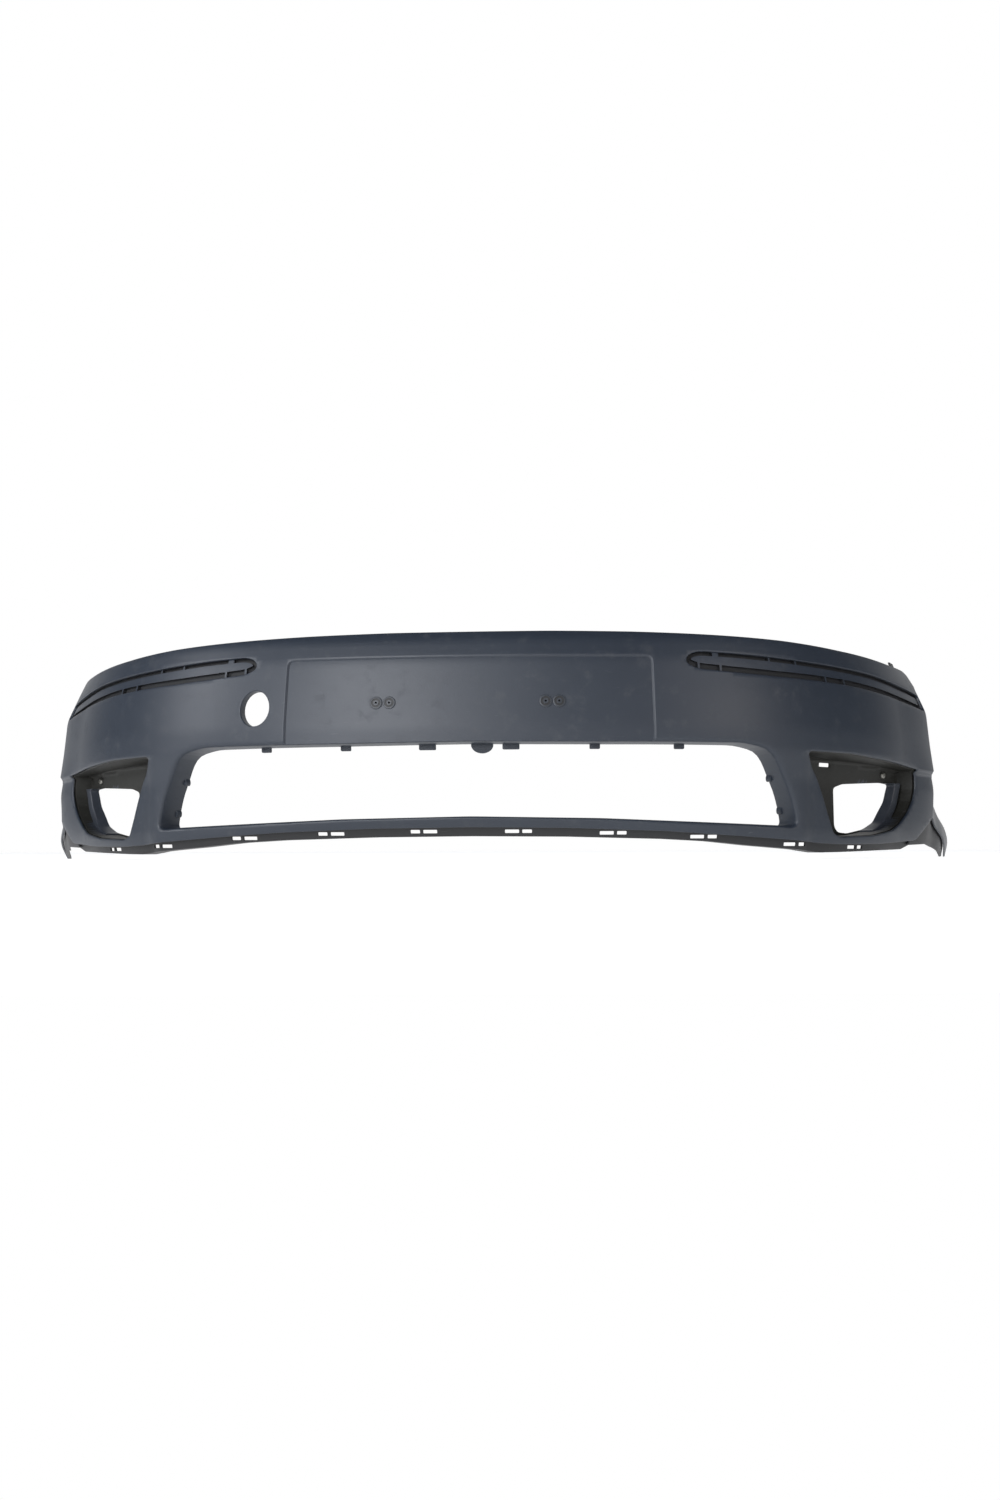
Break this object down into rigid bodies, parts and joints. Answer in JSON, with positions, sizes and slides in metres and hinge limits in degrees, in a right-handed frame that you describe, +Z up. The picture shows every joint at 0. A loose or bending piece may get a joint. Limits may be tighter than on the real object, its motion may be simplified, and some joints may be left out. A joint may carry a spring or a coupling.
{
  "type": "car front bumper cover",
  "caption": "Curved moulded front bumper cover with a wide grille opening, lamp pockets, plate recess, tow-eye hole, trim channels and a slotted lower strip.",
  "frame": {"origin": "centre of the cover's bounding box in plan, at the height of its lowest corners", "axes": "+X across the car towards the right-hand side as seen from in front, -Y forwards (the painted face looks along -Y), +Z up"},
  "size_m": [1.8126, 0.6136, 0.352],
  "materials": {
    "primer": "satin blue-grey primer on moulded plastic",
    "black_plastic": "unpainted dark moulded plastic",
    "grey_plastic": "unpainted grey moulded plastic",
    "grommet_plastic": "primed plastic plug",
    "zinc_steel": "zinc-plated spring steel"
  },
  "bodies": {
    "root": {"bumper_skin": "primer", "lower_strip": "black_plastic", "lamp_pocket_left": "black_plastic", "lamp_pocket_right": "black_plastic", "arch_gusset_left": "black_plastic", "arch_gusset_right": "black_plastic", "wing_bracket_left": "grey_plastic", "wing_bracket_right": "grey_plastic", "plate_grommet_1": "grommet_plastic", "plate_grommet_2": "grommet_plastic", "plate_grommet_3": "grommet_plastic", "plate_grommet_4": "grommet_plastic", "strip_rivet_1": "black_plastic", "strip_rivet_2": "black_plastic", "strip_rivet_3": "black_plastic", "strip_rivet_4": "black_plastic", "strip_rivet_5": "black_plastic", "strip_rivet_6": "black_plastic", "strip_rivet_7": "black_plastic", "strip_rivet_8": "black_plastic", "top_clip_nut_1": "zinc_steel", "top_clip_nut_2": "zinc_steel", "top_clip_nut_3": "zinc_steel", "top_clip_nut_4": "zinc_steel", "top_clip_nut_5": "zinc_steel", "arch_clip_nut_1": "zinc_steel", "arch_clip_nut_2": "zinc_steel", "arch_clip_nut_3": "zinc_steel", "arch_clip_nut_4": "zinc_steel", "lamp_screw_1": "zinc_steel", "lamp_screw_2": "zinc_steel", "lamp_screw_3": "zinc_steel", "lamp_screw_4": "zinc_steel", "bracket_screw_1": "zinc_steel", "bracket_screw_2": "zinc_steel", "bracket_screw_3": "zinc_steel", "bracket_screw_4": "zinc_steel"}
  },
  "joints": []
}
